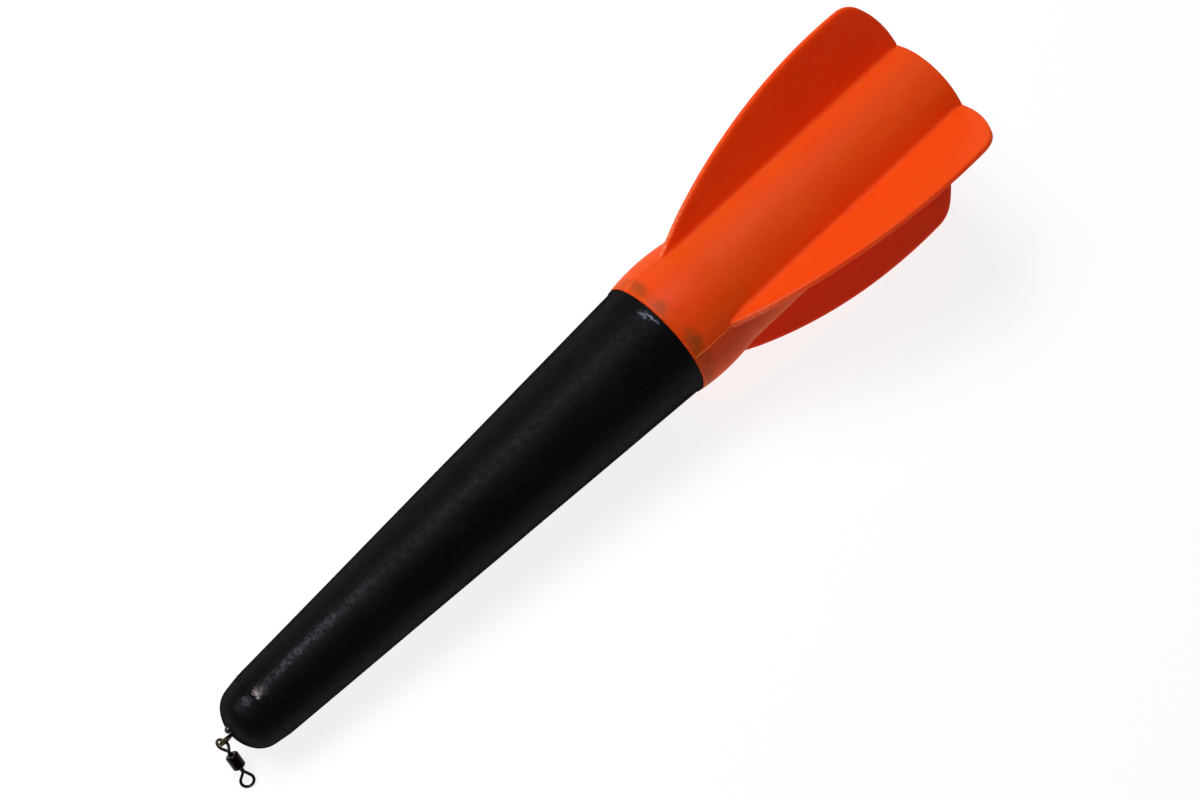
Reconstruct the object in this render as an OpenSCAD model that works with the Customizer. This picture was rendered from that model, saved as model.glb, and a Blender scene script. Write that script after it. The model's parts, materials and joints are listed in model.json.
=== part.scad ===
// Marker float for carp fishing, lying on its side: a tapered black body with a nose cap,
// an orange four-vane flight moulding, and a brass line eye with a barrel swivel.
// Turned pieces are drawn along +Z from the nose tip (z = 0) to the tail, then laid down by lay().

/* [Body] */
// Radius of the body at the nose parting line
body_nose_r = 9.36; // [8.5:0.02:10.5]
// Radius of the body just before the lip at the wide end
body_tail_r = 16.6; // [16.2:0.05:16.8]
// Length of the body between the parting line and the flights
body_len = 131.6; // [110:0.2:150]
// Wall thickness of the body
body_wall = 1.4; // [1:0.1:1.8]
// Radius of the slightly flared lip at the wide end
lip_r = 16.88; // [16.85:0.01:16.95]
// Length over which the lip flares
lip_len = 1.2; // [0.8:0.1:2]
// Small bevel on the edges at the parting line
parting_bevel = 0.3; // [0.1:0.05:0.4]

/* [Nose cap] */
// Length of the cap from its tip to the parting line
cap_len = 9.9; // [9.5:0.1:10.5]
// Radius of the cap at the parting line
cap_base_r = 9.29; // [9:0.01:9.3]
// Radius of the blunt crown at the tip
crown_r = 10.3; // [10:0.1:11]
// Radius of the rounding between crown and side
knuckle_r = 6.6; // [6:0.1:7]
// Taper of the cap's side
cap_taper = 9.4; // [8:0.1:10]
// Radius of the plug that holds the cap in the body
cap_plug_r = 7.4; // [7:0.1:7.6]
// Length of that plug
cap_plug_len = 9; // [6:0.5:12]

/* [Flights] */
// Length of the flight moulding
flight_len = 98.5; // [98:0.1:99]
// Radius of the hub between the vanes
hub_r = 16.85; // [16.7:0.05:17]
// Wall thickness of the hub and its end wall
hub_wall = 1.45; // [1.2:0.05:1.6]
// Largest radius of the bulged collar behind the body
collar_r = 17.65; // [17.5:0.05:17.8]
// Lengthwise radius of that bulge
collar_arc_r = 60; // [55:1:70]
// Distance from the body to the middle of the bulge
collar_top = 8.7; // [8:0.1:9.5]
// Radius at the vanes' outermost edge
vane_tip_r = 36.45; // [35:0.05:38]
// Vane thickness
vane_t = 1.8; // [1.5:0.1:2.4]
// Distance from the tail end back to the vanes' widest point
vane_top_back = 18; // [17:0.1:19]
// Radius of the long leading curve of a vane
vane_lead_r = 136; // [132:1:140]
// Radius of the shorter curve where a vane starts on the collar
vane_start_r = 73; // [70:1:76]
// Radius of a vane's rear corner
vane_corner_r = 8; // [7:0.5:9]
// Radius of a vane's trailing curve
vane_trail_r = 30.4; // [30:0.1:31]
// Fillet between a vane and the hub
root_fillet = 1.3; // [1:0.1:1.6]
// Height of the mould seam on the collar in front of each vane
seam_h = 0.15; // [0.1:0.05:0.2]
// Width of that seam
seam_w = 0.4; // [0.3:0.1:0.6]

/* [End plug] */
// Length of the skirt glued inside the body
skirt_len = 7; // [5:0.5:10]
// Length of the spigot that carries the flights
spigot_len = 4.5; // [3.5:0.5:8]
// Wall of the skirt and spigot
plug_wall = 1.8; // [1.5:0.1:2.5]
// Thickness of the web that closes the body
plug_web = 2; // [1.5:0.1:3]

/* [Line eye] */
// Wire diameter of the brass eye
line_wire = 0.85; // [0.7:0.05:0.9]
// Centreline radius of its round end
line_ring_r = 1.45; // [1.4:0.05:1.5]
// Distance from the centre of the round end to where the two sides meet
line_apex = 2.2; // [2.1:0.1:2.4]
// How far the eye stands out of the nose
line_reach = 3.7; // [3.6:0.1:3.8]
// Shank diameter inside the cap
shank_d = 0.9; // [0.8:0.1:1]
// Radial clearance round the shank in the pieces it passes through
shank_gap = 0.03; // [0.02:0.01:0.05]
// Radius of the washer behind the cap
washer_r = 3; // [2.5:0.1:4]
// Thickness of that washer
washer_t = 0.6; // [0.5:0.1:1]
// Radius of the crimp sleeve that holds the shank
crimp_r = 1.1; // [1:0.1:1.5]
// Length of the crimp sleeve
crimp_len = 2.4; // [2:0.1:4]
// Radius of the countersink in which the eye's two sides meet
sink_r = 1.05; // [1:0.05:1.2]
// Depth of that countersink
sink_depth = 0.8; // [0.7:0.05:1]
// Radius of the dark sealing bead beside the eye
bead_r = 1; // [0.9:0.05:1.2]

/* [Swivel] */
// Barrel diameter
barrel_d = 3.25; // [3.2:0.05:3.4]
// Barrel length
barrel_len = 4; // [3.6:0.1:4.2]
// Thickness of the barrel's rolled ends
barrel_end = 0.45; // [0.4:0.05:0.5]
// Inner radius of the barrel
barrel_in_r = 1.1; // [1.05:0.05:1.15]
// Wire diameter of the two eyes
eye_wire = 0.75; // [0.7:0.05:0.75]
// Centreline radius of an eye's round end
eye_ring_r = 1.58; // [1.5:0.01:1.6]
// Distance from the centre of the round end to where the two sides meet
eye_apex = 2.62; // [2.5:0.01:2.7]
// How far an eye stands out of the barrel when pulled
eye_reach = 5.85; // [5.8:0.05:6.2]
// How far the upper eye has slid into the barrel
upper_slide = 0.7; // [0:0.05:0.9]
// Stem diameter where an eye turns in the barrel's end
stem_d = 1.05; // [1:0.05:1.1]
// Radial clearance round the stem
stem_gap = 0.06; // [0.03:0.01:0.1]
// Radius of the head that holds a stem in the barrel
head_r = 0.95; // [0.9:0.05:0.98]
// Thickness of that head
head_t = 0.5; // [0.4:0.05:0.6]
// Sideways lean of the upper eye on its stem
upper_lean = -5.6; // [-8:0.1:0]
// Turn of the upper eye about the barrel
upper_turn = -51.4; // [-60:0.2:-40]
// Sideways lean of the lower eye on its stem
lower_lean = 10; // [0:0.1:12]
// Turn of the lower eye about the barrel
lower_turn = 6.4; // [-10:0.2:10]

/* [Resting pose] */
// Slope of the swivel down to the surface
swivel_slope = 32.2; // [31:0.1:34]
// Direction in which the swivel points back up to the line eye
swivel_heading = 84.5; // [82:0.1:88]
// Height of the barrel's middle, which leaves the lower eye just on the surface
swivel_z = 4.41; // [4.3:0.01:4.6]
// How far the barrel's middle lies behind the far end of the line eye
swivel_back = 0.2; // [0.1:0.01:0.4]
// How far the barrel's middle lies to the side of it
swivel_side = 4.6; // [4.4:0.01:4.8]
// Distance from the nose tip to the middle of the whole length
middle = 117.32; // [116:0.02:119]

/* [Hidden] */
$fn = 72;

black = [0.10, 0.10, 0.11];
orange = [0.93, 0.33, 0.12];
brass = [0.45, 0.36, 0.20];
nickel = [0.16, 0.15, 0.15];

joint_z = cap_len + body_len;
tail_z = joint_z + flight_len;
cap_inner_z = cap_len + cap_plug_len;
eye_z = line_ring_r + line_wire / 2 - line_reach;
shank_hole_r = shank_d / 2 + shank_gap;
bead_at = [-3.7, 0.72, 0.7];
bead_gap = 0.03;
vane_count = 4;
plain_from = collar_top + 7.3;

// radius of the body and of its inside at height z
function body_r(z) = body_nose_r
    + (body_tail_r - body_nose_r) * (z - cap_len) / (body_len - lip_len);
function cavity_r(z) = body_r(z) - body_wall;

// points along an arc, with angles measured from +X
function on_circle(turn) = [cos(turn), sin(turn)];
function arc(centre, r, from, to, steps) =
    [for (i = [0 : steps]) centre + r * on_circle(from + (to - from) * i / steps)];

// centre of the cap's rounding, tangent to the crown and to the tapered side
side_r = cap_base_r - knuckle_r / cos(cap_taper);
side_k = tan(cap_taper);
crown_z = crown_r - cap_len;
quad_a = 1 + pow(side_k, 2);
quad_b = 2 * (crown_z - side_k * side_r);
quad_c = pow(crown_z, 2) + pow(side_r, 2) - pow(crown_r - knuckle_r, 2);
knuckle_up = (-quad_b + sqrt(pow(quad_b, 2) - 4 * quad_a * quad_c)) / (2 * quad_a);
knuckle_at = [side_r - side_k * knuckle_up, cap_len - knuckle_up];
crown_turn = atan2(knuckle_at[0], crown_r - knuckle_at[1]);

// a vane's outline in [z, r]: four arcs that meet tangentially
lead_at = [tail_z - vane_top_back, vane_tip_r - vane_lead_r];
start_turn = 114.3;
start_at = lead_at + (vane_lead_r - vane_start_r) * on_circle(start_turn);
corner_turn = 87.5;
corner_at = lead_at + (vane_lead_r - vane_corner_r) * on_circle(corner_turn);
trail_turn = 36.1;
trail_at = corner_at - (vane_trail_r - vane_corner_r) * on_circle(trail_turn);
vane_foot_r = hub_r - hub_wall / 2;
foot_turn = 180 - asin((vane_foot_r - start_at[1]) / vane_start_r);
heel_turn = asin((vane_foot_r - trail_at[1]) / vane_trail_r);

// the float lies on the body's parting edge and on two vanes
function vane_depth(turn) = (lead_at[1] + vane_lead_r * sin(turn) + vane_t / 2) / sqrt(2);
function vane_z(turn) = lead_at[0] + vane_lead_r * cos(turn);
rest_z = cap_len + parting_bevel;
tilt = max([for (turn = [90 : 0.1 : 105]) atan2(vane_depth(turn) - body_nose_r, vane_z(turn) - rest_z)]);
lift = body_nose_r * cos(tilt) - rest_z * sin(tilt);

// the swivel hangs on the line eye and its lower eye lies on the surface
barrel_half = barrel_len / 2;
apex_z = barrel_half + eye_reach - eye_apex - eye_ring_r - eye_wire / 2;
hook_x = (line_wire / 2 - line_reach) * cos(tilt) - middle;
swivel_at = [hook_x + swivel_back, -swivel_side, swivel_z];

// lays a piece drawn along +Z on its side, nose towards -X and a little down
module lay() {
    translate([-middle, 0, lift])
        rotate([0, -tilt, 0])
            rotate([0, 90, 0])
                children();
}

// stands a piece drawn round the swivel's own axis where the swivel lies
module at_swivel() {
    translate(swivel_at)
        rotate([0, 90 - swivel_slope, swivel_heading])
            children();
}

// closed wire eye in the YZ plane: its sides meet at the origin and it opens towards +Z.
// The round end runs a little past the straight sides, which are a hair thinner, so they merge cleanly.
module wire_eye(ring_r, wire_d, apex) {
    half = asin(ring_r / apex);
    past = 6;
    thinner = 0.03;
    translate([0, 0, apex])
        rotate([0, 90, 0])
            rotate([0, 0, 90 - half - past])
                rotate_extrude(angle = 180 + 2 * (half + past))
                    translate([ring_r, 0])
                        circle(d = wire_d);
    for (side = [-1, 1])
        rotate([side * half, 0, 0])
            cylinder(d = wire_d - thinner, h = sqrt(pow(apex, 2) - pow(ring_r, 2)));
}

module body_shell() {
    color(black)
        lay()
            rotate_extrude()
                polygon([
                    [cap_plug_r, cap_len],
                    [body_nose_r - parting_bevel, cap_len],
                    [body_nose_r, cap_len + parting_bevel],
                    [body_tail_r, joint_z - lip_len],
                    [lip_r, joint_z - lip_len / 2],
                    [lip_r, joint_z],
                    [cavity_r(joint_z), joint_z],
                    [cavity_r(cap_inner_z), cap_inner_z],
                    [cap_plug_r, cap_inner_z],
                ]);
}

module nose_cap() {
    side_at = [knuckle_at[0] + knuckle_r * cos(cap_taper), knuckle_at[1] - knuckle_r * sin(cap_taper)];
    color(black)
        lay()
            difference() {
                rotate_extrude()
                    polygon(concat(
                        [[0, cap_inner_z], [0, 0]],
                        arc([0, crown_r], crown_r, -90, -90 + crown_turn, 12),
                        arc(knuckle_at, knuckle_r, -90 + crown_turn, -cap_taper, 16),
                        [[cap_base_r, cap_len - parting_bevel], [cap_base_r - parting_bevel, cap_len]],
                        [[cap_plug_r, cap_len], [cap_plug_r, cap_inner_z]]
                    ));
                translate([0, 0, -1])
                    cylinder(r = shank_hole_r, h = cap_inner_z + 2);
                translate([0, 0, -0.05])
                    cylinder(r1 = sink_r, r2 = shank_hole_r, h = sink_depth);
                translate(bead_at)
                    sphere(r = bead_r + bead_gap);
            }
}

module end_plug() {
    skirt_z = joint_z - skirt_len;
    skirt_gap = 0.05;
    skirt_in = cavity_r(skirt_z) - plug_wall;
    spigot_r = hub_r - hub_wall;
    bevel = 0.5;
    color(black)
        lay()
            rotate_extrude()
                polygon([
                    [skirt_in, skirt_z],
                    [cavity_r(skirt_z) - skirt_gap, skirt_z],
                    [cavity_r(joint_z) - skirt_gap, joint_z],
                    [spigot_r, joint_z],
                    [spigot_r, joint_z + spigot_len - bevel],
                    [spigot_r - bevel, joint_z + spigot_len],
                    [spigot_r - plug_wall, joint_z + spigot_len],
                    [spigot_r - plug_wall, joint_z],
                    [0, joint_z],
                    [0, joint_z - plug_web],
                    [skirt_in, joint_z - plug_web],
                ]);
}

// outside of the hub with its bulged collar, grown outwards by more
module hub_skin(more = 0) {
    bulge_at = [collar_r - collar_arc_r, joint_z + collar_top];
    arc_r = collar_arc_r + more;
    low = -asin(collar_top / arc_r);
    high = acos((hub_r + more - bulge_at[0]) / arc_r);
    rotate_extrude()
        polygon(concat(
            [[0, joint_z]],
            arc(bulge_at, arc_r, low, high, 24),
            [[hub_r + more, tail_z], [0, tail_z]]
        ));
}

// flat vane on the +X side
module vane() {
    rotate([-90, -90, 0])
        linear_extrude(height = vane_t, center = true)
            polygon(concat(
                arc(start_at, vane_start_r, foot_turn, start_turn, 10),
                arc(lead_at, vane_lead_r, start_turn, corner_turn, 30),
                arc(corner_at, vane_corner_r, corner_turn, trail_turn, 12),
                arc(trail_at, vane_trail_r, trail_turn, heel_turn, 14)
            ));
}

// the pair of fillets along the root of the vane on the +X side
module vane_fillets() {
    sink = 0.03;
    tail_edge = 0.3;
    side_y = vane_t / 2 + root_fillet - sink;
    side_x = sqrt(pow(hub_r + root_fillet - sink, 2) - pow(side_y, 2));
    on_hub = [side_x, side_y] * (hub_r - sink) / norm([side_x, side_y]);
    translate([0, 0, joint_z + plain_from])
        linear_extrude(height = flight_len - plain_from - tail_edge)
            for (side = [0, 1])
                mirror([0, side])
                    difference() {
                        polygon([
                            [vane_foot_r, 0],
                            [side_x, 0],
                            [side_x, side_y],
                            on_hub,
                            on_hub * vane_foot_r / hub_r,
                        ]);
                        translate([side_x, side_y])
                            circle(r = root_fillet);
                    }
}

module flights() {
    color(orange)
        lay()
            difference() {
                union() {
                    hub_skin();
                    intersection() {
                        hub_skin(seam_h);
                        for (turn = [0, 90])
                            rotate([0, 0, 45 + turn])
                                translate([-2 * hub_r, -seam_w / 2, joint_z])
                                    cube([4 * hub_r, seam_w, plain_from + 0.7]);
                    }
                    for (i = [0 : vane_count - 1])
                        rotate([0, 0, 45 + i * 360 / vane_count]) {
                            vane();
                            vane_fillets();
                        }
                }
                translate([0, 0, joint_z - 1])
                    cylinder(r = hub_r - hub_wall, h = flight_len - hub_wall + 1);
            }
}

module line_eye() {
    color(brass)
        lay()
            union() {
                translate([0, 0, eye_z + line_apex])
                    rotate([180, 0, 90])
                        wire_eye(line_ring_r, line_wire, line_apex);
                translate([0, 0, eye_z + line_apex - 0.1])
                    cylinder(d = shank_d, h = cap_inner_z + washer_t + crimp_len - eye_z - line_apex + 0.1);
            }
}

module eye_washer() {
    color(brass)
        lay()
            translate([0, 0, cap_inner_z])
                difference() {
                    cylinder(r = washer_r, h = washer_t);
                    translate([0, 0, -1])
                        cylinder(r = shank_hole_r, h = washer_t + 2);
                }
}

module eye_crimp() {
    color(nickel)
        lay()
            translate([0, 0, cap_inner_z + washer_t])
                difference() {
                    cylinder(r = crimp_r, h = crimp_len);
                    translate([0, 0, -1])
                        cylinder(r = shank_hole_r, h = crimp_len + 2);
                }
}

module eye_bead() {
    color([0.05, 0.10, 0.16])
        lay()
            translate(bead_at)
                sphere(r = bead_r);
}

module swivel_barrel() {
    bevel = 0.3;
    hole_r = stem_d / 2 + stem_gap;
    color(nickel)
        at_swivel()
            difference() {
                rotate_extrude()
                    polygon([
                        [0, -barrel_half],
                        [barrel_d / 2 - bevel, -barrel_half],
                        [barrel_d / 2, bevel - barrel_half],
                        [barrel_d / 2, barrel_half - bevel],
                        [barrel_d / 2 - bevel, barrel_half],
                        [0, barrel_half],
                    ]);
                cylinder(r = barrel_in_r, h = barrel_len - 2 * barrel_end, center = true);
                cylinder(r = hole_r, h = barrel_len + 2, center = true);
            }
}

// wire eye on its stem, with the head that turns inside the barrel, on the +Z end
module swivel_eye(lean, turn, slide) {
    head_z = barrel_half - barrel_end - 0.05 - head_t;
    translate([0, 0, -slide]) {
        translate([0, 0, head_z])
            cylinder(r = head_r, h = head_t);
        translate([0, 0, head_z])
            cylinder(d = stem_d, h = apex_z - head_z);
        translate([0, 0, apex_z])
            sphere(d = stem_d);
        translate([0, 0, apex_z])
            rotate([lean, 0, turn])
                wire_eye(eye_ring_r, eye_wire, eye_apex);
    }
}

module swivel_top_eye() {
    color(nickel)
        at_swivel()
            swivel_eye(upper_lean, upper_turn, upper_slide);
}

module swivel_bottom_eye() {
    color(nickel)
        at_swivel()
            rotate([180, 0, 0])
                swivel_eye(lower_lean, lower_turn, 0);
}

body_shell();
nose_cap();
end_plug();
flights();
line_eye();
eye_washer();
eye_crimp();
eye_bead();
swivel_top_eye();
swivel_barrel();
swivel_bottom_eye();
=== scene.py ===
import json
import math

import bmesh
import bpy
from mathutils import Matrix, Vector, noise


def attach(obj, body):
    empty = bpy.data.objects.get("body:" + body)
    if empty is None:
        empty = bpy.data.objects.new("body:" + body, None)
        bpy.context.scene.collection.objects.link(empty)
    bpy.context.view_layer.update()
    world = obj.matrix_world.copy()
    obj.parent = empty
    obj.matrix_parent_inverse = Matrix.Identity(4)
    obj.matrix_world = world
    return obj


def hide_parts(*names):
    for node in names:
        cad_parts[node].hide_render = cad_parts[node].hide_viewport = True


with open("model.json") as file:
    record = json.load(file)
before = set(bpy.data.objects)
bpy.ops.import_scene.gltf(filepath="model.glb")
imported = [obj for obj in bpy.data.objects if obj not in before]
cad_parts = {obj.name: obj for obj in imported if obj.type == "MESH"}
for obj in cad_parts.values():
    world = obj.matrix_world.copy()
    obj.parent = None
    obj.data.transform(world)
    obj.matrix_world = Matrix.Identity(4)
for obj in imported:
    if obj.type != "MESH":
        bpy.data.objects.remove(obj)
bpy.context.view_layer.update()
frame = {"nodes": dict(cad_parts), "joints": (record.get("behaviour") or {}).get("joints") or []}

# ---------------------------------------------------------------- the float's own frame
# Turned pieces are built in millimetres round their own X axis, nose tip at x = 0, and are
# then tilted and lifted onto the surface, as the CAD model is.
MM = 0.001
TILT = math.radians(4.782794)
MIDDLE = 117.32
LIFT = 8.476947
OWN = Matrix.Translation((-MIDDLE * MM, 0, LIFT * MM)) @ Matrix.Rotation(-TILT, 4, "Y")

# ---------------------------------------------------------------- main sizes, in millimetres
CAP_LEN = 9.9
JOINT_X = 141.5
TAIL_X = 240.0
BODY_NOSE_R = 9.36
BODY_TAIL_R = 16.6
LIP_R = 16.88
HUB_R = 16.85
PLUG_END_X = 18.9       # how far the cap's plug reaches into the body


# ---------------------------------------------------------------- general helpers
def smooth(low, high, value):
    """0 at low, 1 at high, with level ends; low may be the larger one."""
    t = min(1.0, max(0.0, (value - low) / (high - low)))
    return t * t * (3 - 2 * t)


def mesh_object(name, shell, body, node, material, place=OWN, sharp=40):
    """A piece from a shell in millimetres, riding on a body and standing for a CAD node."""
    verts, faces = shell
    mesh = bpy.data.meshes.new(name)
    mesh.from_pydata([place @ (Vector(v) * MM) for v in verts], [], faces)
    mesh.validate()
    form = bmesh.new()
    form.from_mesh(mesh)
    bmesh.ops.recalc_face_normals(form, faces=form.faces)
    form.to_mesh(mesh)
    form.free()
    mesh.polygons.foreach_set("use_smooth", [True] * len(mesh.polygons))
    mesh.set_sharp_from_angle(angle=math.radians(sharp))
    mesh.materials.append(material)
    piece = bpy.data.objects.new(name, mesh)
    bpy.context.scene.collection.objects.link(piece)
    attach(piece, body)
    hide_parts(node)
    return piece


def arc(centre, r, start, end, steps):
    """Points along a circle, between two angles in degrees."""
    turns = [math.radians(start + (end - start) * i / steps) for i in range(steps + 1)]
    return [(centre[0] + r * math.cos(t), centre[1] + r * math.sin(t)) for t in turns]


def rounded(corners, steps=6):
    """A closed outline from (x, r, corner radius), with each corner rounded."""
    out = []
    count = len(corners)
    for i, (x, y, radius) in enumerate(corners):
        if radius <= 0:
            out.append((x, y))
            continue
        here = Vector((x, y))
        before = (Vector(corners[i - 1][:2]) - here).normalized()
        after = (Vector(corners[(i + 1) % count][:2]) - here).normalized()
        half = before.angle(after) / 2
        reach = radius / math.tan(half)
        centre = here + (before + after).normalized() * radius / math.sin(half)
        from_a = here + before * reach - centre
        from_b = here + after * reach - centre
        turn_all = from_a.angle_signed(from_b)
        for k in range(steps + 1):
            turn = -turn_all * k / steps
            c, s = math.cos(turn), math.sin(turn)
            out.append((centre.x + from_a.x * c - from_a.y * s,
                        centre.y + from_a.x * s + from_a.y * c))
    return out


def refine(outline, longest):
    """Adds points so that no side of the closed outline is longer than that."""
    out = []
    for i, here in enumerate(outline):
        there = outline[(i + 1) % len(outline)]
        pieces = max(1, math.ceil(math.dist(here, there) / longest))
        for k in range(pieces):
            out.append(tuple(here[j] + (there[j] - here[j]) * k / pieces for j in (0, 1)))
    return out


def bands(rows, columns, closed):
    """Faces between neighbouring rows of points, each row a ring; closed joins last to first."""
    faces = []
    for i in range(rows if closed else rows - 1):
        j = (i + 1) % rows
        for s in range(columns):
            t = (s + 1) % columns
            faces.append((i * columns + s, i * columns + t, j * columns + t, j * columns + s))
    return faces


def capped(rows, columns):
    """Faces of a stack of rings with both ends closed."""
    first = tuple(range(columns))[::-1]
    last = tuple((rows - 1) * columns + s for s in range(columns))
    return bands(rows, columns, False) + [first, last]


def lathe(outline, segments=160, wobble=None):
    """Turns a closed (x, r) outline round the X axis; wobble(x, r, turn) adds to the radius."""
    verts = []
    for x, r in outline:
        for s in range(segments):
            turn = 2 * math.pi * s / segments
            out = r + (wobble(x, r, turn) if wobble else 0)
            verts.append((x, out * math.cos(turn), out * math.sin(turn)))
    return verts, bands(len(outline), segments, True)


WIRE_SIDES = 20
WIRE_END = [(0.05, 1.0), (0.45, 0.89), (0.8, 0.6), (0.97, 0.25)]    # (beyond the end, width)


def sweep(path, radius, up=(0, 0, 1)):
    """Round wire along an open path, with domed ends."""
    points = [Vector(p) for p in path]
    count = len(points)
    ways = [(points[min(i + 1, count - 1)] - points[max(i - 1, 0)]).normalized()
            for i in range(count)]
    side = ways[0].cross(Vector(up)).normalized()
    rings = []
    for point, way in zip(points, ways):
        side = (side - way * side.dot(way)).normalized()
        rings.append((point, side.copy(), way.cross(side), radius))
    (head, u0, v0, _), (tail, u1, v1, _) = rings[0], rings[-1]
    first = [(head - ways[0] * radius * a, u0, v0, radius * b) for a, b in reversed(WIRE_END)]
    last = [(tail + ways[-1] * radius * a, u1, v1, radius * b) for a, b in WIRE_END]
    rings = first + rings + last
    verts = []
    for centre, u, v, r in rings:
        for s in range(WIRE_SIDES):
            turn = 2 * math.pi * s / WIRE_SIDES
            verts.append(centre + (u * math.cos(turn) + v * math.sin(turn)) * r)
    return verts, capped(len(rings), WIRE_SIDES)


def teardrop(ring_r, apex, steps=40, leg_steps=8):
    """Wire loop as (across, out) points: up one leg from the apex, round the ring and back."""
    half = math.asin(ring_r / apex)
    foot = ring_r * math.cos(half), apex - ring_r * math.sin(half)
    up = [(-foot[0] * k / leg_steps, foot[1] * k / leg_steps) for k in range(leg_steps)]
    back = [(-across, out) for across, out in reversed(up)]
    turns = [math.pi + half - (math.pi + 2 * half) * k / steps for k in range(steps + 1)]
    return up + [(ring_r * math.cos(t), apex + ring_r * math.sin(t)) for t in turns] + back


def together(*shells):
    """Several shells as one."""
    verts, faces = [], []
    for some_verts, some_faces in shells:
        base = len(verts)
        verts += [tuple(v) for v in some_verts]
        faces += [tuple(base + k for k in face) for face in some_faces]
    return verts, faces


# ---------------------------------------------------------------- materials
class Paint:
    """A small builder for one Principled material, worked in the float's own frame."""

    def __init__(self, name, **sockets):
        self.material = bpy.data.materials.new(name)
        self.material.use_nodes = True
        self.tree = self.material.node_tree
        self.shader = self.tree.nodes["Principled BSDF"]
        for key, value in sockets.items():
            self.shader.inputs[key.replace("_", " ")].default_value = value
        back = OWN.inverted()
        self.where = self.add("ShaderNodeMapping", {
            "Vector": self.add("ShaderNodeTexCoord").outputs["Object"],
            "Location": back.to_translation(), "Rotation": back.to_euler()}).outputs["Vector"]

    def add(self, kind, inputs=None, **settings):
        """A node with its settings; an input takes a number, a colour or another node's output."""
        made = self.tree.nodes.new(kind)
        for key, value in settings.items():
            setattr(made, key, value)
        for key, value in (inputs or {}).items():
            if isinstance(value, bpy.types.NodeSocket):
                self.tree.links.new(value, made.inputs[key])
            else:
                made.inputs[key].default_value = value
        return made

    def feed(self, name, socket):
        self.tree.links.new(socket, self.shader.inputs[name])

    def scaled(self, stretch):
        return self.add("ShaderNodeMapping", {
            "Vector": self.where, "Scale": stretch}).outputs["Vector"]

    def noise(self, scale, detail=2.0, rough=0.5, stretch=None, twist=0.0):
        return self.add("ShaderNodeTexNoise", {
            "Vector": self.scaled(stretch) if stretch else self.where, "Scale": scale,
            "Detail": detail, "Roughness": rough, "Distortion": twist}).outputs["Fac"]

    def math(self, operation, a, b=0.0, clamp=False):
        return self.add("ShaderNodeMath", {0: a, 1: b},
                        operation=operation, use_clamp=clamp).outputs[0]

    def times(self, a, b, clamp=False):
        return self.math("MULTIPLY", a, b, clamp)

    def vector_math(self, operation, a, b=(0, 0, 0)):
        return self.add("ShaderNodeVectorMath", {0: a, 1: b}, operation=operation)

    def span(self, value, low, high, to_low=0.0, to_high=1.0):
        """Carries value from low..high to to_low..to_high, with level ends."""
        return self.add("ShaderNodeMapRange", {
            "Value": value, "From Min": low, "From Max": high,
            "To Min": to_low, "To Max": to_high},
            interpolation_type="SMOOTHSTEP").outputs["Result"]

    def near(self, point, inner, outer, squeeze=(1, 1, 1), ragged=None):
        """1 within inner millimetres of a point in the own frame, fading to 0 at outer."""
        target = tuple(point[i] * MM * squeeze[i] for i in range(3))
        gap = self.vector_math("DISTANCE", self.scaled(squeeze), target).outputs["Value"]
        if ragged:
            gap = self.math("ADD", gap, ragged)
        return self.span(gap, inner * MM, outer * MM, 1.0, 0.0)

    def mix(self, factor, a, b):
        made = self.add("ShaderNodeMix", {"Factor": factor}, data_type="RGBA")
        for slot, value in ((6, a), (7, b)):
            if isinstance(value, bpy.types.NodeSocket):
                self.tree.links.new(value, made.inputs[slot])
            else:
                made.inputs[slot].default_value = (*value, 1.0)
        return made.outputs[2]

    def gloss(self, level, rim):
        """Specular level facing the eye, fading to a lower one towards the outline."""
        facing = self.add("ShaderNodeLayerWeight").outputs["Facing"]
        shine = self.times(self.span(facing, 0.2, 0.8, 1.0, rim / level), level)
        self.feed("Specular IOR Level", shine)

    def bump(self, *layers):
        """Layers of (height, strength, distance in millimetres)."""
        inputs = {}
        for height, strength, depth in layers:
            inputs.update({"Height": height, "Strength": strength, "Distance": depth * MM})
            inputs["Normal"] = self.add("ShaderNodeBump", inputs).outputs["Normal"]
        self.feed("Normal", inputs["Normal"])


def brighter(colour, times):
    return tuple(c * times for c in colour)


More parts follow.
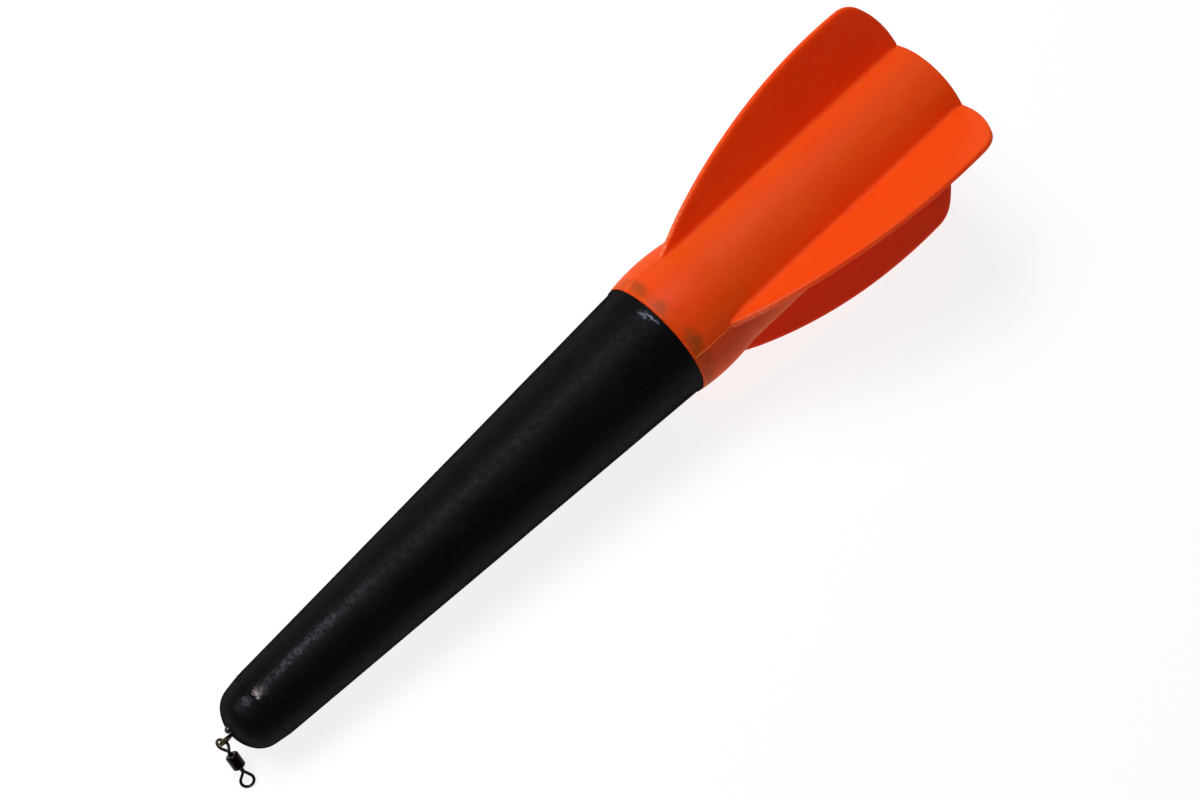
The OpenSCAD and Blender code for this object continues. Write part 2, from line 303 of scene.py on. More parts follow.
def black_plastic(name, dark, light, rough, scuffs_and_highlights=()):
    """Satin black moulding with fine grain, dust specks, worn spots and painted highlights.

    A spot is (centre, inner and outer reach, squeeze, strength, colour); the colour is worn plastic
    for a scuff and a painted highlight elsewhere.
    """
    p = Paint(name, Specular_Tint=(0.86, 0.88, 1.0, 1))
    p.gloss(0.066, 0.001)
    grain = p.noise(2300, 3, 0.6)
    streaks = p.noise(420, 3, 0.6, stretch=(0.12, 1, 1))
    clouds = p.noise(70, 4, 0.55)
    mottle = p.noise(600, 4, 0.65)
    specks = p.span(p.noise(1700, 0, 0.5), 0.69, 0.76)
    tone = p.mix(p.span(clouds, 0.35, 0.7), dark, light)
    tone = p.mix(p.times(p.span(streaks, 0.45, 0.75), 0.15), tone, brighter(light, 2.2))
    tone = p.mix(p.times(specks, 0.3), tone, brighter(light, 5))
    rougher = p.math("ADD", p.span(mottle, 0.35, 0.65, -0.05, 0.06),
                     p.span(grain, 0.35, 0.7, rough - 0.05, rough + 0.06))
    layers = [(streaks, 0.03, 0.05), (mottle, 0.12, 0.08), (grain, 0.25, 0.04)]
    worn_and_highlight_spots = None
    crinkle = p.noise(900, 4, 0.7, stretch=(1.8, 0.7, 0.7), twist=0.8)
    ragged = p.span(p.noise(1100, 3, 0.6), 0.2, 0.8, -0.0006, 0.0006)
    for point, inner, outer, squeeze, strength, shine in scuffs_and_highlights:
        spot = p.times(p.near(point, inner, outer, squeeze, ragged), p.span(crinkle, 0.36, 0.6))
        spot = p.times(spot, strength, clamp=True)
        # each spot mixes in its colour: worn plastic for a scuff, a painted highlight on the sheen
        # band or the lip
        tone = p.mix(spot, tone, shine)
        rougher = p.math("SUBTRACT", rougher, p.times(spot, 0.16))
        worn_and_highlight_spots = p.math("ADD", worn_and_highlight_spots, spot) if worn_and_highlight_spots else spot
    if worn_and_highlight_spots:
        layers.append((worn_and_highlight_spots, 0.5, 0.05))
    p.feed("Base Color", tone)
    p.feed("Roughness", rougher)
    p.bump(*layers)
    return p.material


ORANGE_DEEP, ORANGE_BRIGHT = (0.965, 0.072, 0.0050), (0.975, 0.084, 0.0062)
ORANGE_PORE = (0.99, 0.12, 0.015)
SPIGOT_SHADE = (0.42, 0.075, 0.010)
GLUE_SHADE = (0.25, 0.06, 0.014)
SEAM_SHADE = (0.99, 0.17, 0.035)
FLASH_SHADE = (1.0, 0.28, 0.14)
GLUE_SMUDGES = (        # centre, reach, squeeze, depth
    ((144.7, -9.4, 14.6), 2.5, (1, 0.7, 0.7), 0.95),
    ((144.5, -14.3, 10.0), 2.8, (1, 0.7, 0.7), 0.95),
    ((144.2, 9.7, 14.4), 2.4, (1.2, 0.5, 0.5), 0.38),
    ((143.2, 3.6, 17.0), 2.0, (1.3, 0.5, 0.5), 0.34),
    ((144.8, 14.0, -10.0), 2.6, (1, 0.7, 0.7), 0.9),
    ((144.6, -3.0, -17.0), 2.6, (1, 0.7, 0.7), 0.9),
)


def spigot_and_glue(p, tone, along):
    """The black spigot and its glue, dim through the collar next to the joint."""
    edge = p.noise(260, 4, 0.62, twist=0.5)
    reach = p.math("SUBTRACT", along, p.times(edge, 4.6))
    band = p.times(p.span(reach, 0.0, 2.8, 1.0, 0.0), p.span(along, 0.25, 1.1))
    band = p.times(band, p.span(p.noise(140, 2, 0.5), 0.38, 0.66, 0.12, 0.75))
    tone = p.mix(band, tone, SPIGOT_SHADE)
    ragged = p.span(p.noise(330, 3, 0.6, twist=0.6), 0.2, 0.8, -0.0009, 0.0009)
    glue = None
    for centre, outer, squeeze, depth in GLUE_SMUDGES:
        spot = p.times(p.near(centre, 0.0, outer, squeeze, ragged), depth)
        glue = p.math("MAXIMUM", glue, spot) if glue else spot
    glue = p.times(glue, p.span(edge, 0.3, 0.6, 0.28, 0.54))
    return p.mix(glue, tone, GLUE_SHADE)


def collar_seams(p, tone, along, across):
    """Mould seams in line with the vanes, lighter on the collar and longer on one side."""
    lies = p.vector_math("MULTIPLY", p.where, (0, 1, 1)).outputs[0]
    lies = p.vector_math("ABSOLUTE", lies).outputs[0]
    lies = p.add("ShaderNodeSeparateXYZ", {0: lies})
    off = p.math("ABSOLUTE", p.math("SUBTRACT", lies.outputs["Y"], lies.outputs["Z"]))
    seam = p.times(p.span(off, 0.00010, 0.00045, 1.0, 0.0), p.span(along, 0.3, 1.0))
    short = p.times(p.span(along, 1.5, 3.4, 0.7, 0.04), p.span(across, -0.001, 0.001))
    longer = p.times(p.span(along, 3.0, 9.0, 0.75, 0.3),
                     p.span(across, -0.001, 0.001, 1.0, 0.0))
    return p.mix(p.times(seam, p.math("ADD", short, longer)), tone, SEAM_SHADE)


def orange_plastic():
    """Soft translucent orange, with what shows through the collar and the vanes' rough edges."""
    p = Paint("orange_plastic", Subsurface_Weight=0.75, Subsurface_Scale=0.0032,
              Subsurface_Radius=(1.0, 0.22, 0.06))
    p.gloss(0.09, 0.02)
    place = p.add("ShaderNodeSeparateXYZ", {0: p.where})
    along = p.math("SUBTRACT", p.math("DIVIDE", place.outputs["X"], MM), JOINT_X)
    flow = p.noise(55, 4, 0.55, stretch=(0.35, 1, 1), twist=0.4)
    fine = p.noise(2000, 3, 0.6)
    pores = p.noise(420, 2, 0.5)
    tone = p.mix(p.span(flow, 0.3, 0.72), ORANGE_DEEP, ORANGE_BRIGHT)
    tone = p.mix(p.times(p.span(pores, 0.4, 0.7), 0.15), tone, ORANGE_PORE)
    tone = spigot_and_glue(p, tone, along)
    tone = collar_seams(p, tone, along, place.outputs["Y"])
    rim = p.add("ShaderNodeAttribute", attribute_name="flash",
                attribute_type="GEOMETRY").outputs["Fac"]
    tone = p.mix(p.times(rim, p.span(fine, 0.46, 0.62, 0.1, 0.85)), tone, FLASH_SHADE)
    satin = p.span(p.math("ADD", fine, pores), 0.7, 1.3, 0.40, 0.52)
    p.feed("Base Color", tone)
    p.feed("Roughness", p.math("SUBTRACT", satin, p.times(rim, 0.18)))
    p.bump((flow, 0.10, 0.25), (pores, 0.10, 0.05), (fine, 0.16, 0.03))
    return p.material


def metal(name, dark, light, rough):
    """Metal with a mottled tarnish, duller where it is darker."""
    p = Paint(name, Metallic=1.0)
    tarnish = p.noise(1500, 4, 0.6, twist=0.6)
    fine = p.noise(7500, 2, 0.5)
    p.feed("Base Color", p.mix(p.span(tarnish, 0.35, 0.68), dark, light))
    p.feed("Roughness", p.span(tarnish, 0.3, 0.75, rough + 0.14, rough - 0.06))
    p.bump((tarnish, 0.15, 0.03), (fine, 0.12, 0.01))
    return p.material


def dark_bead():
    p = Paint("bead_resin", Specular_IOR_Level=0.5, Coat_Weight=0.3, Coat_Roughness=0.2)
    tone = p.noise(900, 3, 0.5)
    p.feed("Base Color", p.mix(p.span(tone, 0.35, 0.65),
                               (0.004, 0.008, 0.013), (0.010, 0.020, 0.030)))
    p.feed("Roughness", p.span(tone, 0.3, 0.7, 0.28, 0.42))
    p.bump((tone, 0.2, 0.05))
    return p.material


# WORN_WARM is the colour of a real scuff; the other two are painted highlights, a pale bluish one
# on the lip and a dim grey one along the sheen band
WORN_WARM, LIP_PAINTED_HIGHLIGHT, SHEEN_PAINTED_HIGHLIGHT = (0.42, 0.35, 0.375), (0.30, 0.34, 0.44), (0.07, 0.067, 0.078)
# Scuffs near the nose, then painted highlight streaks along the sheen band, then a painted
# highlight on the lip
BODY_SCUFFS_AND_HIGHLIGHTS = (
    ((11.5, 1.6, 9.35), 0.1, 1.2, (1, 0.7, 0.9), 1.2, (0.20, 0.17, 0.185)),
    ((10.9, 1.5, 9.3), 0.15, 0.95, (1.3, 0.6, 0.6), 1.7, WORN_WARM),
    ((12.6, 1.3, 9.4), 0.2, 1.7, (0.8, 0.9, 1), 0.7, (0.16, 0.14, 0.16)),
    # painted highlight streaks along the body's sheen band
    ((17.0, 2.0, 9.5), 0.3, 1.6, (0.3, 1, 1), 0.6, SHEEN_PAINTED_HIGHLIGHT),
    ((24.0, 2.1, 9.9), 0.3, 1.6, (0.2, 1, 1), 0.65, SHEEN_PAINTED_HIGHLIGHT),
    ((33.0, 2.2, 10.4), 0.3, 1.9, (0.2, 1, 1), 0.55, SHEEN_PAINTED_HIGHLIGHT),
    ((43.0, 2.3, 10.95), 0.2, 1.8, (0.2, 1, 1), 0.3, SHEEN_PAINTED_HIGHLIGHT),
    # painted highlight on the lip, where its nick is shaped in the skin
    ((140.3, 2.4, 16.5), 0.1, 1.3, (2.4, 0.45, 0.45), 1.3, LIP_PAINTED_HIGHLIGHT),
    ((139.4, 4.0, 16.1), 0.1, 1.2, (1.5, 0.5, 0.5), 0.5, LIP_PAINTED_HIGHLIGHT),
)
# Painted highlights on the cap: a soft bluish reflection on its shoulder and a dim streak on its
# sheen band
CAP_PAINTED_HIGHLIGHTS = (
    ((8.3, 2.0, 8.95), 0.1, 1.6, (1, 0.9, 0.9), 0.6, (0.12, 0.128, 0.15)),
    ((6.4, 2.2, 8.2), 0.3, 2.2, (1, 1, 1), 0.28, SHEEN_PAINTED_HIGHLIGHT),
)
body_paint = black_plastic("body_plastic", (0.0026, 0.0026, 0.0030), (0.0040, 0.0040, 0.0047),
                           0.52, BODY_SCUFFS_AND_HIGHLIGHTS)
cap_paint = black_plastic("cap_plastic", (0.0026, 0.0027, 0.0032), (0.0040, 0.0041, 0.0049),
                          0.50, CAP_PAINTED_HIGHLIGHTS)
plug_paint = black_plastic("plug_plastic", (0.010, 0.010, 0.010), (0.016, 0.016, 0.016), 0.55)
flight_paint = orange_plastic()
brass_paint = metal("bronzed_brass", (0.045, 0.030, 0.013), (0.135, 0.093, 0.041), 0.38)
washer_paint = metal("plain_brass", (0.38, 0.26, 0.09), (0.60, 0.44, 0.18), 0.30)
crimp_paint = metal("crimp_steel", (0.22, 0.22, 0.22), (0.42, 0.42, 0.42), 0.34)
eye_paint = metal("black_nickel", (0.020, 0.017, 0.015), (0.085, 0.07, 0.06), 0.28)
barrel_paint = metal("black_nickel_barrel", (0.008, 0.007, 0.0065), (0.032, 0.018, 0.016), 0.34)
bead_paint = dark_bead()

# ---------------------------------------------------------------- black body
LIP_LEN = 1.2
NICK_X, NICK_TURN = 140.3, 82     # a small dent in the lip, by its angle in degrees


def body_radius(x):
    return BODY_NOSE_R + (BODY_TAIL_R - BODY_NOSE_R) * (x - CAP_LEN) / (JOINT_X - CAP_LEN - LIP_LEN)


def body_wobble(x, r, turn):
    """A faint unevenness of the outer skin, always inward, and the lip's dent."""
    if r < body_radius(x) - 0.6:
        return 0.0
    wave = 0.03 * noise.noise(Vector((x * 0.035, math.cos(turn) * 1.3, math.sin(turn) * 1.3)))
    off_turn = (math.degrees(turn) - NICK_TURN) / 3.2
    nick = math.exp(-((x - NICK_X) / 0.5) ** 2 - off_turn ** 2)
    return min(0.0, wave - 0.012) - 0.16 * nick


body_outline = rounded([
    (CAP_LEN, 7.4, 0),
    (CAP_LEN, body_radius(CAP_LEN) - 0.03, 0.1),
    (JOINT_X - 1.25, BODY_TAIL_R, 1.2),
    (JOINT_X - 0.75, LIP_R, 0.25),
    (JOINT_X, LIP_R, 0.22),
    (JOINT_X, 15.27, 0),
    (PLUG_END_X, 8.46, 0),
    (PLUG_END_X, 7.4, 0),
])
mesh_object("body_skin", lathe(refine(body_outline, 1.6), 200, body_wobble),
            "float", "body_shell", body_paint, sharp=50)

# ---------------------------------------------------------------- nose cap
CROWN_R = 10.3          # the blunt front
KNUCKLE_R = 6.6         # between the front and the side
CAP_TAPER = 9.4         # the side's slope, in degrees
CAP_BASE_R = 9.29       # the side carried on to the parting line
SHANK_HOLE_R = 0.48
SINK_R = 0.99           # the sunk mouth of the shank's hole


def knuckle_centre():
    """Where the knuckle's circle touches both the crown and the tapered side."""
    slope = math.tan(math.radians(CAP_TAPER))
    side_r = CAP_BASE_R - KNUCKLE_R / math.cos(math.radians(CAP_TAPER))
    crown_gap = CROWN_R - CAP_LEN
    a = 1 + slope ** 2
    b = 2 * (crown_gap - slope * side_r)
    c = crown_gap ** 2 + side_r ** 2 - (CROWN_R - KNUCKLE_R) ** 2
    up = (-b + math.sqrt(b * b - 4 * a * c)) / (2 * a)
    return CAP_LEN - up, side_r - slope * up


def cap_outline():
    knuckle = knuckle_centre()
    crown_turn = math.degrees(math.atan2(knuckle[1], CROWN_R - knuckle[0]))
    sink_turn = math.degrees(math.asin(SINK_R / CROWN_R))
    hole = [(PLUG_END_X, SHANK_HOLE_R), (0.75, SHANK_HOLE_R), (0.09, 0.95)]
    crown = arc((CROWN_R, 0), CROWN_R, 180 - sink_turn, 180 - crown_turn, 14)
    side = arc(knuckle, KNUCKLE_R, 180 - crown_turn, 90 + CAP_TAPER, 22)[1:]
    parting_line = [(9.5, 9.22), (9.72, 9.25), (9.80, 9.22), (9.85, 9.12), (9.87, 8.9)]
    plug = [(9.87, 7.38), (PLUG_END_X, 7.38)]
    return hole + crown + side + parting_line + plug


mesh_object("cap_skin", lathe(refine(cap_outline(), 0.9)),
            "float", "nose_cap", cap_paint, sharp=50)

# ---------------------------------------------------------------- the vanes' outline
VANE_TIP_R = 36.45
START_R, LEAD_R, CORNER_R, TRAIL_R = 73.0, 136.0, 8.0, 30.4     # arcs, from nose to tail
START_TURN, CORNER_TURN, TRAIL_TURN = 114.3, 87.5, 36.1         # where one arc meets the next


def on_circle(turn):
    return Vector((math.cos(math.radians(turn)), math.sin(math.radians(turn))))


def vane_outline():
    """The free edge of a vane as (x, r) points, four arcs from the hub back to the hub."""
    lead_at = Vector((TAIL_X - 18, VANE_TIP_R - LEAD_R))
    start_at = lead_at + (LEAD_R - START_R) * on_circle(START_TURN)
    corner_at = lead_at + (LEAD_R - CORNER_R) * on_circle(CORNER_TURN)
    trail_at = corner_at - (TRAIL_R - CORNER_R) * on_circle(TRAIL_TURN)
    low_turn = 180 - math.degrees(math.asin((HUB_R - start_at.y) / START_R))
    heel_turn = math.degrees(math.asin((HUB_R - 0.2 - trail_at.y) / TRAIL_R))
    return (arc(start_at, START_R, low_turn, START_TURN, 60)
            + arc(lead_at, LEAD_R, START_TURN, CORNER_TURN, 240)[1:]
            + arc(corner_at, CORNER_R, CORNER_TURN, TRAIL_TURN, 60)[1:]
            + arc(trail_at, TRAIL_R, TRAIL_TURN, heel_turn, 80)[1:])


outline = vane_outline()
run = [0.0]             # length along the outline up to each of its points
for a, b in zip(outline, outline[1:]):
    run.append(run[-1] + math.dist(a, b))


def outline_at(distance):
    """The point that far along the outline."""
    low, high = 0, len(run) - 1
    distance = min(max(distance, 0.0), run[-1])
    while high - low > 1:
        middle = (low + high) // 2
        if run[middle] <= distance:
            low = middle
        else:
            high = middle
    f = (distance - run[low]) / (run[high] - run[low])
    return tuple(outline[low][j] + (outline[high][j] - outline[low][j]) * f for j in (0, 1))


def outline_over(x):
    """The outline's point straight above x, before it turns back, or None ahead of the vane."""
    if x < outline[0][0] + 0.05:
        return None
    k = next(i for i, p in enumerate(outline) if p[0] >= x)
    a, b = outline[k - 1], outline[k]
    return x, a[1] + (b[1] - a[1]) * (x - a[0]) / (b[0] - a[0])


# ---------------------------------------------------------------- orange flights
BULGE_R, BULGE_ARC_R, BULGE_AT = 17.65, 60, 8.7     # the collar's swelling behind the joint
FAN_X = 214.0           # from here on the sections fan out to follow the corner and trailing edge
FAN_STEPS = 84
DISH_DEPTH = 0.42       # the tail wall lies this far in from the rim
VANE_HALF = 0.9
SEAM_HALF = 0.13        # half width of the seam that a vane grows out of
BORE_R = 15.42
SIDE_STEPS, FILLET_STEPS, HUB_STEPS = 9, 6, 22
# Half of a vane's rounded edge, as (half width, depth below the outline).
EDGE = [(0.0, 0.0), (0.24, 0.008), (0.43, 0.04), (0.58, 0.13), (0.70, 0.28), (0.79, 0.50),
        (0.85, 0.80), (0.885, 1.2), (0.9, 1.7)]


def hub_radius(x):
    """The hub with its bulged collar, blended smoothly."""
    step = x - JOINT_X - BULGE_AT
    bulge = 0
    if abs(step) < 30:
        bulge = BULGE_R - BULGE_ARC_R + math.sqrt(BULGE_ARC_R ** 2 - step * step)
    soft = 0.07
    top = max(bulge, HUB_R)
    blend = soft * math.log(math.exp((bulge - top) / soft) + math.exp((HUB_R - top) / soft))
    return top + blend - soft * math.log(2) * math.exp(-((step - 9.6) / 6) ** 2) * 0.5


def sections():
    """(x at the hub, point on the outline or None) of each section, from the joint to the tail."""
    found = []
    x = JOINT_X + 0.22
    while x < FAN_X:
        found.append((x, outline_over(x)))
        x += 0.32 if x < 175 else 0.8
    start = next(run[i] for i, p in enumerate(outline) if p[0] >= FAN_X)
    for k in range(FAN_STEPS + 1):
        f = k / FAN_STEPS
        root = FAN_X + (TAIL_X - DISH_DEPTH - FAN_X) * f
        found.append((root, outline_at(start + (run[-1] - start) * f ** 0.93)))
    return found


def vane_half(x, tip, seed):
    """One side of a vane's section, from its crest down its flank to the end of the fillet.

    Each row is (half width, x, height above the axis, roughness). Ahead of the vane it is only
    the low mould seam. The first stretch of the vane's edge is ragged.
    """
    hub = hub_radius(x)
    rise = 0.0 if tip is None else max(0.0, tip[1] - hub)
    half = SEAM_HALF + (VANE_HALF - SEAM_HALF) * smooth(0.0, 0.45, rise)
    fillet = min(1.3, 0.09 + 0.38 * rise)
    if x > TAIL_X - 3.2:
        fade = smooth(TAIL_X - DISH_DEPTH, TAIL_X - 3.2, x) if rise < 4 else 1.0
        fillet = min(fillet, 0.1 + 1.2 * fade)
    foot = math.sqrt((hub + fillet) ** 2 - (half + fillet) ** 2)
    crest = tip
    if tip is None or tip[1] < foot + 0.1:
        seam = 0.05 + 0.02 * smooth(JOINT_X + 0.3, JOINT_X + 1.0, x)
        crest = (x, max(hub + fillet * 0.6 + seam, foot + 0.02))
    column = Vector(crest) - Vector((x, foot))
    length = column.length
    scale = min(1.0, length / 2.4)
    ragged = smooth(outline[0][0] + 24, outline[0][0] + 6, x) if tip else 0.0
    rows = []
    for width, depth in EDGE:
        f = 1 - depth * scale / length
        rough = ragged if depth < 0.3 else 0.0
        height = foot + column.y * f
        if width < 0.7:
            at = Vector((x * 2.3, width * 5, seed * 7.1))
            height += 0.075 * rough * noise.noise(at) - 0.03 * rough
        rows.append((width / VANE_HALF * half, x + column.x * f, height, rough))
    left = 1 - EDGE[-1][1] * scale / length
    for k in range(1, SIDE_STEPS + 1):
        f = left * (1 - k / SIDE_STEPS)
        rows.append((half, x + column.x * f, foot + column.y * f, 0.0))
    start = -math.pi / 2
    end = math.atan2(-half - fillet, -foot)
    if end > start:
        end -= 2 * math.pi
    for k in range(1, FILLET_STEPS + 1):
        turn = start + (end - start) * k / FILLET_STEPS
        rows.append((half + fillet + fillet * math.sin(turn), x,
                     foot + fillet * math.cos(turn), 0.0))
    return rows


def section_ring(x, tip, seed):
    """A closed ring of points round the hub and over the four vanes, and how rough each is."""
    hub = hub_radius(x)
    rows = vane_half(x, tip, seed)
    edge_turn = math.atan2(rows[-1][0], rows[-1][2])
    points, rough = [], []

    def put(row, base, sign):
        width, px, height, roughness = row
        c, s = math.cos(base), math.sin(base)
        points.append((px, height * c - sign * width * s, height * s + sign * width * c))
        rough.append(roughness)

    for vane in range(4):
        base = math.radians(45 + 90 * vane)
        for row in rows:
            put(row, base, 1)
        for k in range(1, HUB_STEPS):
            turn = base + edge_turn + (math.pi / 2 - 2 * edge_turn) * k / HUB_STEPS
            points.append((x, hub * math.cos(turn), hub * math.sin(turn)))
            rough.append(0.0)
        for row in reversed(rows[1:]):
            put(row, base + math.pi / 2, -1)
    return points, rough


def turned(points, x, r):
    """The same ring of directions, laid on a circle."""
    return [(x, r * y / math.hypot(y, z), r * z / math.hypot(y, z)) for _, y, z in points]


def flight_moulding():
    """The hub with its bore, the four vanes and the dished tail, and how rough each point is."""
    stations = sections()
    first, _ = section_ring(*stations[0], 0)
    last, _ = section_ring(*stations[-1], 0)
    start_r = hub_radius(JOINT_X)
    bore = ((238.5, 0.4), (238.5, 6.0), (238.5, BORE_R - 0.6), (237.9, BORE_R), (200.0, BORE_R),
            (JOINT_X + 0.3, BORE_R), (JOINT_X + 0.02, BORE_R + 0.2))
    mouth = ((0.02, 0.25), (0.06, 0.1), (0.13, 0.03))
    rim = ((0.30, 0.02), (0.18, 0.08), (0.09, 0.19), (0.02, 0.36), (0.0, 0.6))
    dish = ((0.02, 14.2), (0.10, 13.7), (0.34, 13.3), (DISH_DEPTH, 12.6), (DISH_DEPTH, 6.0),
            (DISH_DEPTH, 2.2), (0.30, 1.9), (0.24, 1.2), (0.22, 0.3))
    size = len(first)
    verts = []
    for x, r in bore:
        verts += turned(first, x, r)
    for x, drop in mouth:
        verts += turned(first, JOINT_X + x, start_r - drop)
    flash = [0.0] * len(verts)
    for x, tip in stations:
        points, rough = section_ring(x, tip, len(verts))
        verts += points
        flash += rough
    for x, drop in rim:
        verts += turned(last, TAIL_X - x, HUB_R - drop)
    for x, r in dish:
        verts += turned(last, TAIL_X - x, r)
    flash += [0.0] * (len(verts) - len(flash))
    return verts, capped(len(verts) // size, size), flash


verts, faces, flash = flight_moulding()
flights = mesh_object("flight_moulding", (verts, faces), "float", "flights",
                      flight_paint, sharp=55)
mark = flights.data.attributes.new("flash", "FLOAT", "POINT")
mark.data.foreach_set("value", flash)

# ---------------------------------------------------------------- brass line eye and its bead
LINE_WIRE_R, LINE_RING_R, LINE_APEX, LINE_REACH = 0.425, 1.45, 2.2, 3.7
SHANK_R = 0.45
BEAD_AT, BEAD_R = (0.7, 0.72, 3.7), 1.05

eye_apex_x = LINE_RING_R + LINE_WIRE_R - LINE_REACH + LINE_APEX
loop = [(eye_apex_x - out, 0.0, across) for across, out in teardrop(LINE_RING_R, LINE_APEX)]
shank = [(eye_apex_x - 0.15 + 0.25 * k, 0, 0) for k in range(9)]
mesh_object("line_eye_wire",
            together(sweep(loop, LINE_WIRE_R, up=(0, 1, 0)), sweep(shank, SHANK_R)),
            "float", "line_eye", brass_paint)


def lump(centre, r, lumpiness, seed, rows=28, columns=40):
    """A slightly uneven ball that stays within its radius."""
    verts = []
    for i in range(rows + 1):
        fall = math.pi * i / rows
        for s in range(columns):
            turn = 2 * math.pi * s / columns
            way = Vector((math.sin(fall) * math.cos(turn), math.sin(fall) * math.sin(turn),
                          math.cos(fall)))
            dent = 0.5 + 0.5 * noise.noise(way * 1.6 + Vector((seed, 0, 0)))
            verts.append(Vector(centre) + way * r * (1 - lumpiness * dent))
    return verts, bands(rows + 1, columns, False)


mesh_object("eye_root_bead", lump(BEAD_AT, BEAD_R, 0.08, 3.0),
            "float", "eye_bead", bead_paint)

# ---------------------------------------------------------------- barrel swivel
SWIVEL_HEADING, SWIVEL_SLOPE = 84.5, 32.2
BARREL_R, BARREL_HALF, BARREL_HOLE_R = 1.625, 2.0, 0.585
SWIVEL_WIRE_R, SWIVEL_RING_R, SWIVEL_APEX = 0.375, 1.58, 2.62
STEM_R, HEAD_R = 0.525, 0.95
APEX_Z, HEAD_Z = 3.275, 1.05      # along the swivel from its middle, with the eye pulled out

spin = next(j for j in frame["joints"] if j["name"] == "barrel_spin")
SWIVEL = (Matrix.Translation(spin["pos_m"])
          @ Matrix.Rotation(math.radians(SWIVEL_HEADING), 4, "Z")
          @ Matrix.Rotation(math.radians(90 - SWIVEL_SLOPE), 4, "Y"))
UPRIGHT = Matrix.Rotation(math.radians(-90), 4, "Y")      # a lathe's X axis to the swivel's Z

barrel = rounded([
    (-BARREL_HALF, BARREL_HOLE_R, 0.05), (-BARREL_HALF, 1.33, 0.1),
    (-BARREL_HALF + 0.3, BARREL_R, 0.14), (BARREL_HALF - 0.3, BARREL_R, 0.14),
    (BARREL_HALF, 1.33, 0.1), (BARREL_HALF, BARREL_HOLE_R, 0.05),
    (1.55, BARREL_HOLE_R, 0), (1.55, 1.1, 0), (-1.55, 1.1, 0), (-1.55, BARREL_HOLE_R, 0)], 5)
mesh_object("barrel_tube", lathe(refine(barrel, 0.25), 72), "barrel", "swivel_barrel",
            barrel_paint, place=SWIVEL @ UPRIGHT)


def swivel_eye(name, body, node, flip, lean, turn, slide):
    """Wire loop whose two ends cross, close up and turn as one stem inside the barrel."""
    apex_z = APEX_Z - slide
    head_z = HEAD_Z - slide
    tip = (Matrix.Translation((0, 0, apex_z)) @ Matrix.Rotation(math.radians(turn), 4, "Z")
           @ Matrix.Rotation(math.radians(lean), 4, "X"))
    loop = []
    for across, out in teardrop(SWIVEL_RING_R, SWIVEL_APEX):
        cross = 0.26 * max(0.0, 1 - out / 1.6) * (1 if across > 0 else -1)
        loop.append(tip @ Vector((cross, across, out)))
    stem_verts, stem_faces = lathe(refine(rounded([
        (head_z, 0.02, 0), (head_z, HEAD_R, 0.08), (head_z + 0.45, HEAD_R, 0.08),
        (head_z + 0.45, STEM_R, 0), (apex_z - 0.15, STEM_R, 0.2), (apex_z + 0.42, 0.3, 0.15),
        (apex_z + 0.42, 0.02, 0)]), 0.3), 40)
    stem = [UPRIGHT @ Vector(v) for v in stem_verts], stem_faces
    place = SWIVEL @ Matrix.Rotation(math.pi, 4, "X") if flip else SWIVEL
    mesh_object(name, together(sweep(loop, SWIVEL_WIRE_R, up=(1, 0, 0)), stem),
                body, node, eye_paint, place=place)


swivel_eye("upper_eye_wire", "upper_eye", "swivel_top_eye",
           flip=False, lean=-5.6, turn=-51.4, slide=0.7)
swivel_eye("lower_eye_wire", "lower_eye", "swivel_bottom_eye",
           flip=True, lean=10, turn=6.4, slide=0)

# ---------------------------------------------------------------- hidden CAD pieces
# They keep their shape and get a better material.
for node, paint in (("end_plug", plug_paint), ("eye_washer", washer_paint),
                    ("eye_crimp", crimp_paint)):
    part = frame["nodes"][node]
    part.data.materials.clear()
    part.data.materials.append(paint)

# ---------------------------------------------------------------- floor
FLOOR_HALF = 4
FLOOR_GAP = 0.00005     # metres below the part, so that the two never share a plane

floor_mesh = bpy.data.meshes.new("floor")
floor_mesh.from_pydata([(x * FLOOR_HALF, y * FLOOR_HALF, 0)
                        for x, y in ((-1, -1), (1, -1), (1, 1), (-1, 1))], [], [(0, 1, 2, 3)])
floor = bpy.data.objects.new("floor", floor_mesh)
floor.location.z = -FLOOR_GAP
bpy.context.scene.collection.objects.link(floor)
floor_paint = bpy.data.materials.new("floor_paper")
floor_paint.use_nodes = True
paper = floor_paint.node_tree.nodes["Principled BSDF"]
for socket, value in (("Base Color", (0.20, 0.20, 0.20, 1)), ("Roughness", 0.9),
                      ("Specular IOR Level", 0.1), ("Emission Color", (1, 1, 1, 1)),
                      ("Emission Strength", 0.86)):
    paper.inputs[socket].default_value = value
floor_mesh.materials.append(floor_paint)

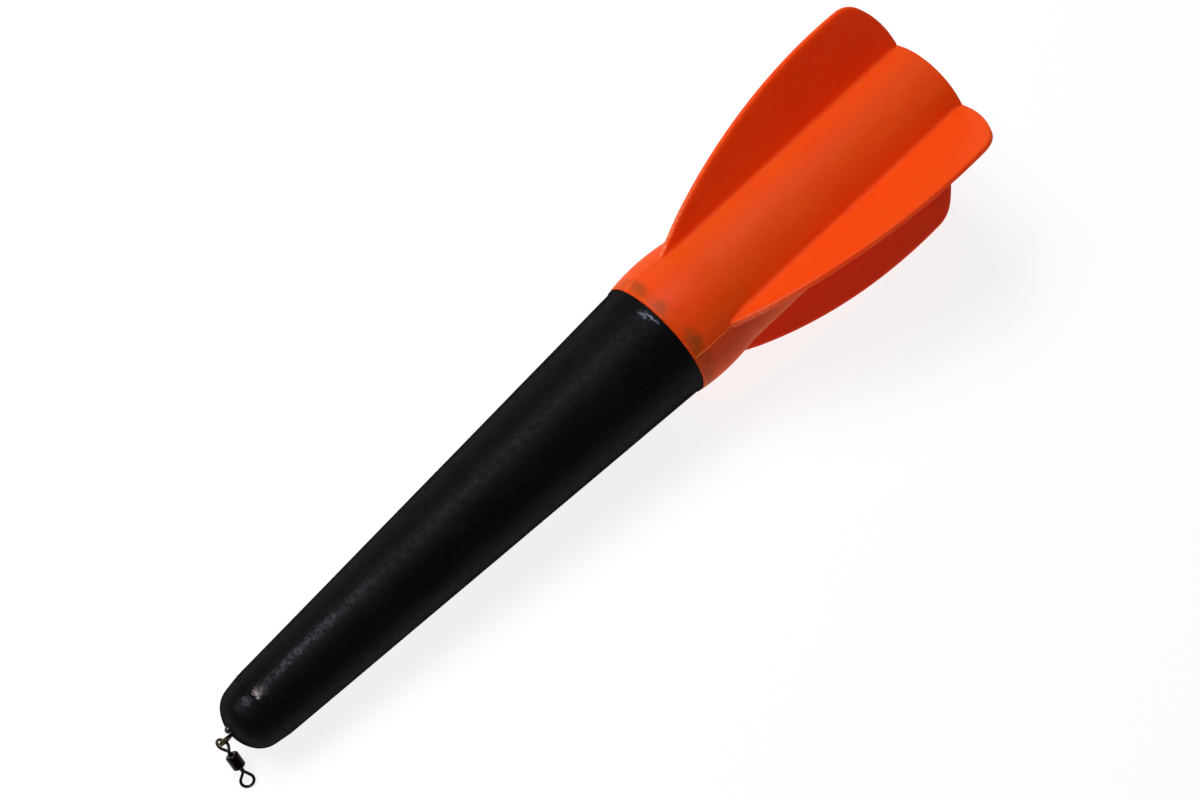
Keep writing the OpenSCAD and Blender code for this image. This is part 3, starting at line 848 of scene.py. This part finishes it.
# ---------------------------------------------------------------- light
# Even studio light, a little stronger from behind and above, and one soft box overhead.
SKY_WAY = (-0.1, 0.75, 0.65)
KEY_WAY, KEY_AIM, KEY_DISTANCE = Vector((-0.12, 0.505, 0.856)).normalized(), (0, 0, 0.02), 1.0
KEY_SIZE, KEY_POWER = (0.7, 0.35), 9.2

world = bpy.data.worlds.new("studio")
bpy.context.scene.world = world
world.use_nodes = True
tree = world.node_tree
way = tree.nodes.new("ShaderNodeTexCoord").outputs["Generated"]
facing = tree.nodes.new("ShaderNodeVectorMath")
facing.operation = "DOT_PRODUCT"
facing.inputs[1].default_value = SKY_WAY
fade = tree.nodes.new("ShaderNodeMapRange")
for socket, value in (("From Min", -0.7), ("From Max", 0.9), ("To Min", 0.52), ("To Max", 0.82)):
    fade.inputs[socket].default_value = value
tree.links.new(way, facing.inputs[0])
tree.links.new(facing.outputs["Value"], fade.inputs["Value"])
tree.links.new(fade.outputs["Result"], tree.nodes["Background"].inputs["Strength"])

key = bpy.data.lights.new("key", "AREA")
key.shape = "RECTANGLE"
key.size, key.size_y = KEY_SIZE
key.energy = KEY_POWER
lamp = bpy.data.objects.new("key", key)
bpy.context.scene.collection.objects.link(lamp)
lamp.location = Vector(KEY_AIM) + KEY_WAY * KEY_DISTANCE
lamp.rotation_euler = (-KEY_WAY).to_track_quat("-Z", "Y").to_euler()

# ---------------------------------------------------------------- camera
# Its place in millimetres and its three directions are given in the float's own frame.
CAMERA_AT = Vector((24.902, -74.562, 429.520))
CAMERA_RIGHT = Vector((0.71500, -0.69798, 0.03986))
CAMERA_DOWN = Vector((-0.66565, -0.69709, -0.26642))
CAMERA_AHEAD = Vector((0.21375, 0.16395, -0.96303))

camera_data = bpy.data.cameras.new("camera")
camera_data.lens = 53.53
camera_data.sensor_width = 36
camera_data.clip_start = 0.01
camera = bpy.data.objects.new("camera", camera_data)
bpy.context.scene.collection.objects.link(camera)
seen = Matrix((CAMERA_RIGHT, -CAMERA_DOWN, -CAMERA_AHEAD)).transposed().to_4x4()
camera.matrix_world = OWN @ Matrix.Translation(CAMERA_AT * MM) @ seen
bpy.context.scene.camera = camera
bpy.context.scene.view_settings.view_transform = "Standard"
